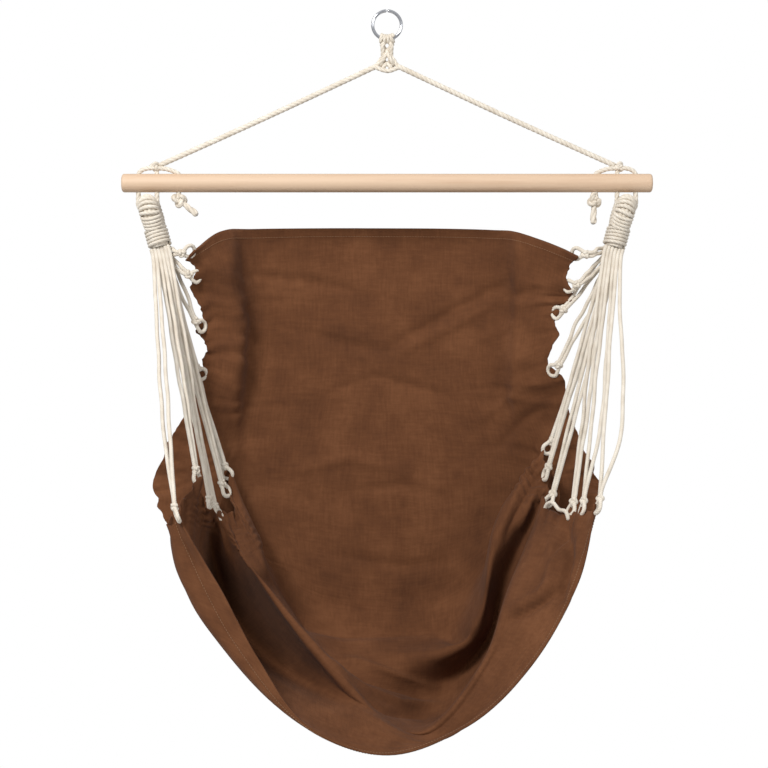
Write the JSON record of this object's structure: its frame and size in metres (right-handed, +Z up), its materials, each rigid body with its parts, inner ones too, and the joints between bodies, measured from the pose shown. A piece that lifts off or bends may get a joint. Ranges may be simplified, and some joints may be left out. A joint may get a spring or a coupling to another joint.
{
  "type": "hammock chair",
  "caption": "Hanging hammock chair: a cloth sling on two fans of cords, a wooden spreader bar, two ropes and a steel hanging ring.",
  "frame": {"origin": "highest point inside the hanging ring, where a hook bears", "axes": "+Z up, the sitter faces -Y, the spreader bar lies along X"},
  "size_m": [1, 0.4001, 1.3597],
  "materials": {
    "ring_steel": "bright plated wire",
    "bar_wood": "plain sanded softwood",
    "seat_canvas": "heavy brown woven cotton",
    "cotton_rope": "undyed twisted cotton"
  },
  "bodies": {
    "ring": {"hanging_ring": "ring_steel"},
    "lashing": {"ring_lashing": "cotton_rope"},
    "suspension": {"crown_knot": "cotton_rope", "spreader_bar": "bar_wood", "suspension_rope_left": "cotton_rope", "hitch_knot_left": "cotton_rope", "bar_bight_left": "cotton_rope", "stopper_knot_left": "cotton_rope", "suspension_rope_right": "cotton_rope", "hitch_knot_right": "cotton_rope", "bar_bight_right": "cotton_rope", "stopper_knot_right": "cotton_rope"},
    "seat": {"seat_fabric": "seat_canvas", "eye_core_left": "cotton_rope", "eye_winding_left": "cotton_rope", "whipping_left": "cotton_rope", "eye_core_right": "cotton_rope", "eye_winding_right": "cotton_rope", "whipping_right": "cotton_rope", "left_cord_00": "cotton_rope", "left_cord_01": "cotton_rope", "left_cord_02": "cotton_rope", "left_cord_03": "cotton_rope", "left_cord_04": "cotton_rope", "left_cord_05": "cotton_rope", "left_cord_06": "cotton_rope", "left_cord_07": "cotton_rope", "left_cord_08": "cotton_rope", "left_cord_09": "cotton_rope", "right_cord_00": "cotton_rope", "right_cord_01": "cotton_rope", "right_cord_02": "cotton_rope", "right_cord_03": "cotton_rope", "right_cord_04": "cotton_rope", "right_cord_05": "cotton_rope", "right_cord_06": "cotton_rope", "right_cord_07": "cotton_rope", "right_cord_08": "cotton_rope", "right_cord_09": "cotton_rope"}
  },
  "joints": [
    {"name": "ring_slide", "type": "hinge", "parent": "ring", "child": "lashing", "pos_m": [0, 0, -0.024], "axis": [0, 1, 0], "range_deg": [-20, 20]},
    {"name": "chair_swing", "type": "hinge", "parent": "lashing", "child": "suspension", "pos_m": [0, 0, -0.051], "axis": [1, 0, 0], "range_deg": [-30, 30]},
    {"name": "seat_tilt", "type": "hinge", "parent": "suspension", "child": "seat", "pos_m": [0, 0, -0.37215], "axis": [1, 0, 0], "range_deg": [-25, 25]}
  ]
}
